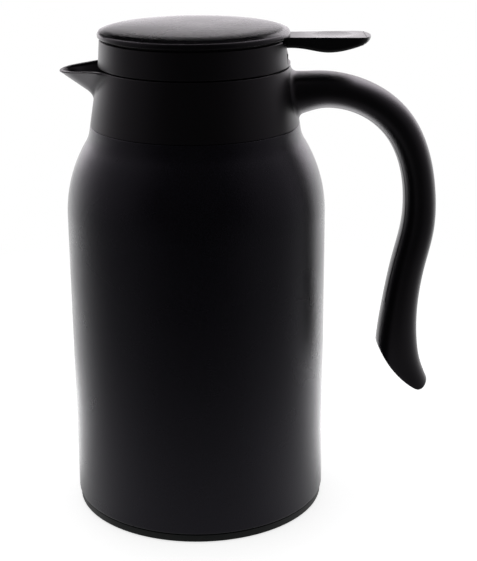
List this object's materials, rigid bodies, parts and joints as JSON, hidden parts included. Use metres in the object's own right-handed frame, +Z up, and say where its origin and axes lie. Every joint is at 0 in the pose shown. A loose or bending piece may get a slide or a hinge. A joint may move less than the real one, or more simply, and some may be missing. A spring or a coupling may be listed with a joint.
{
  "type": "vacuum carafe",
  "caption": "Round double-walled vacuum carafe with a pouring spout, an open-ended side handle and a sprung flip lid worked by a thumb lever.",
  "frame": {"origin": "centre of the foot's underside, in the plane the carafe stands on", "axes": "+Z up along the flask's axis; +X towards the handle and the thumb lever; -X towards the spout"},
  "size_m": [0.1826, 0.126, 0.2397],
  "materials": {
    "coated_steel": "fine powder coat, satin, near-black",
    "bare_steel": "drawn stainless steel, bare",
    "solder_glass": "fused sealing bead",
    "foot_plastic": "moulded, matte, near-black",
    "foot_rubber": "soft, matte",
    "fitting_plastic": "moulded, matte",
    "silicone": "soft, satin",
    "collar_plastic": "moulded, fine satin, near-black",
    "stopper_plastic": "moulded, satin, near-black",
    "foam": "light closed-cell foam",
    "lid_plastic": "moulded, smooth, near-black",
    "lever_plastic": "moulded, smooth, near-black"
  },
  "bodies": {
    "flask": {"outer_shell": "coated_steel", "inner_flask": "bare_steel", "bottom_plate": "bare_steel", "vacuum_seal": "solder_glass", "getter": "bare_steel", "base_cover": "foot_plastic", "foot_pad": "foot_rubber", "neck_ring": "fitting_plastic", "neck_gasket": "silicone", "collar": "collar_plastic", "handle_cover": "collar_plastic"},
    "seal": {"stopper_seal": "silicone"},
    "stopper": {"stopper_body": "stopper_plastic", "plug_cup": "fitting_plastic", "plug_insulation": "foam", "hinge_pin": "bare_steel", "return_spring": "bare_steel"},
    "lid": {"flip_cap": "lid_plastic", "thumb_lever": "lever_plastic", "lid_liner": "fitting_plastic", "lid_seal": "silicone"}
  },
  "joints": [
    {"name": "stopper_rise", "type": "slide", "parent": "flask", "child": "seal", "axis": [0, 0, 1], "range_m": [0, 0.012]},
    {"name": "stopper_turn", "type": "hinge", "parent": "seal", "child": "stopper", "pos_m": [0, 0, 0.2215], "axis": [0, 0, 1], "range_deg": [0, 360]},
    {"name": "lid_flip", "type": "hinge", "parent": "stopper", "child": "lid", "pos_m": [0.03955, 0, 0.23125], "axis": [0, 1, 0], "range_deg": [0, 19], "stiffness_Nm_per_rad": 0.7, "springref_deg": -11.46}
  ],
  "couplings": [
    {"joint": "stopper_turn", "follows": "stopper_rise", "rad_per_m": 523.6}
  ]
}
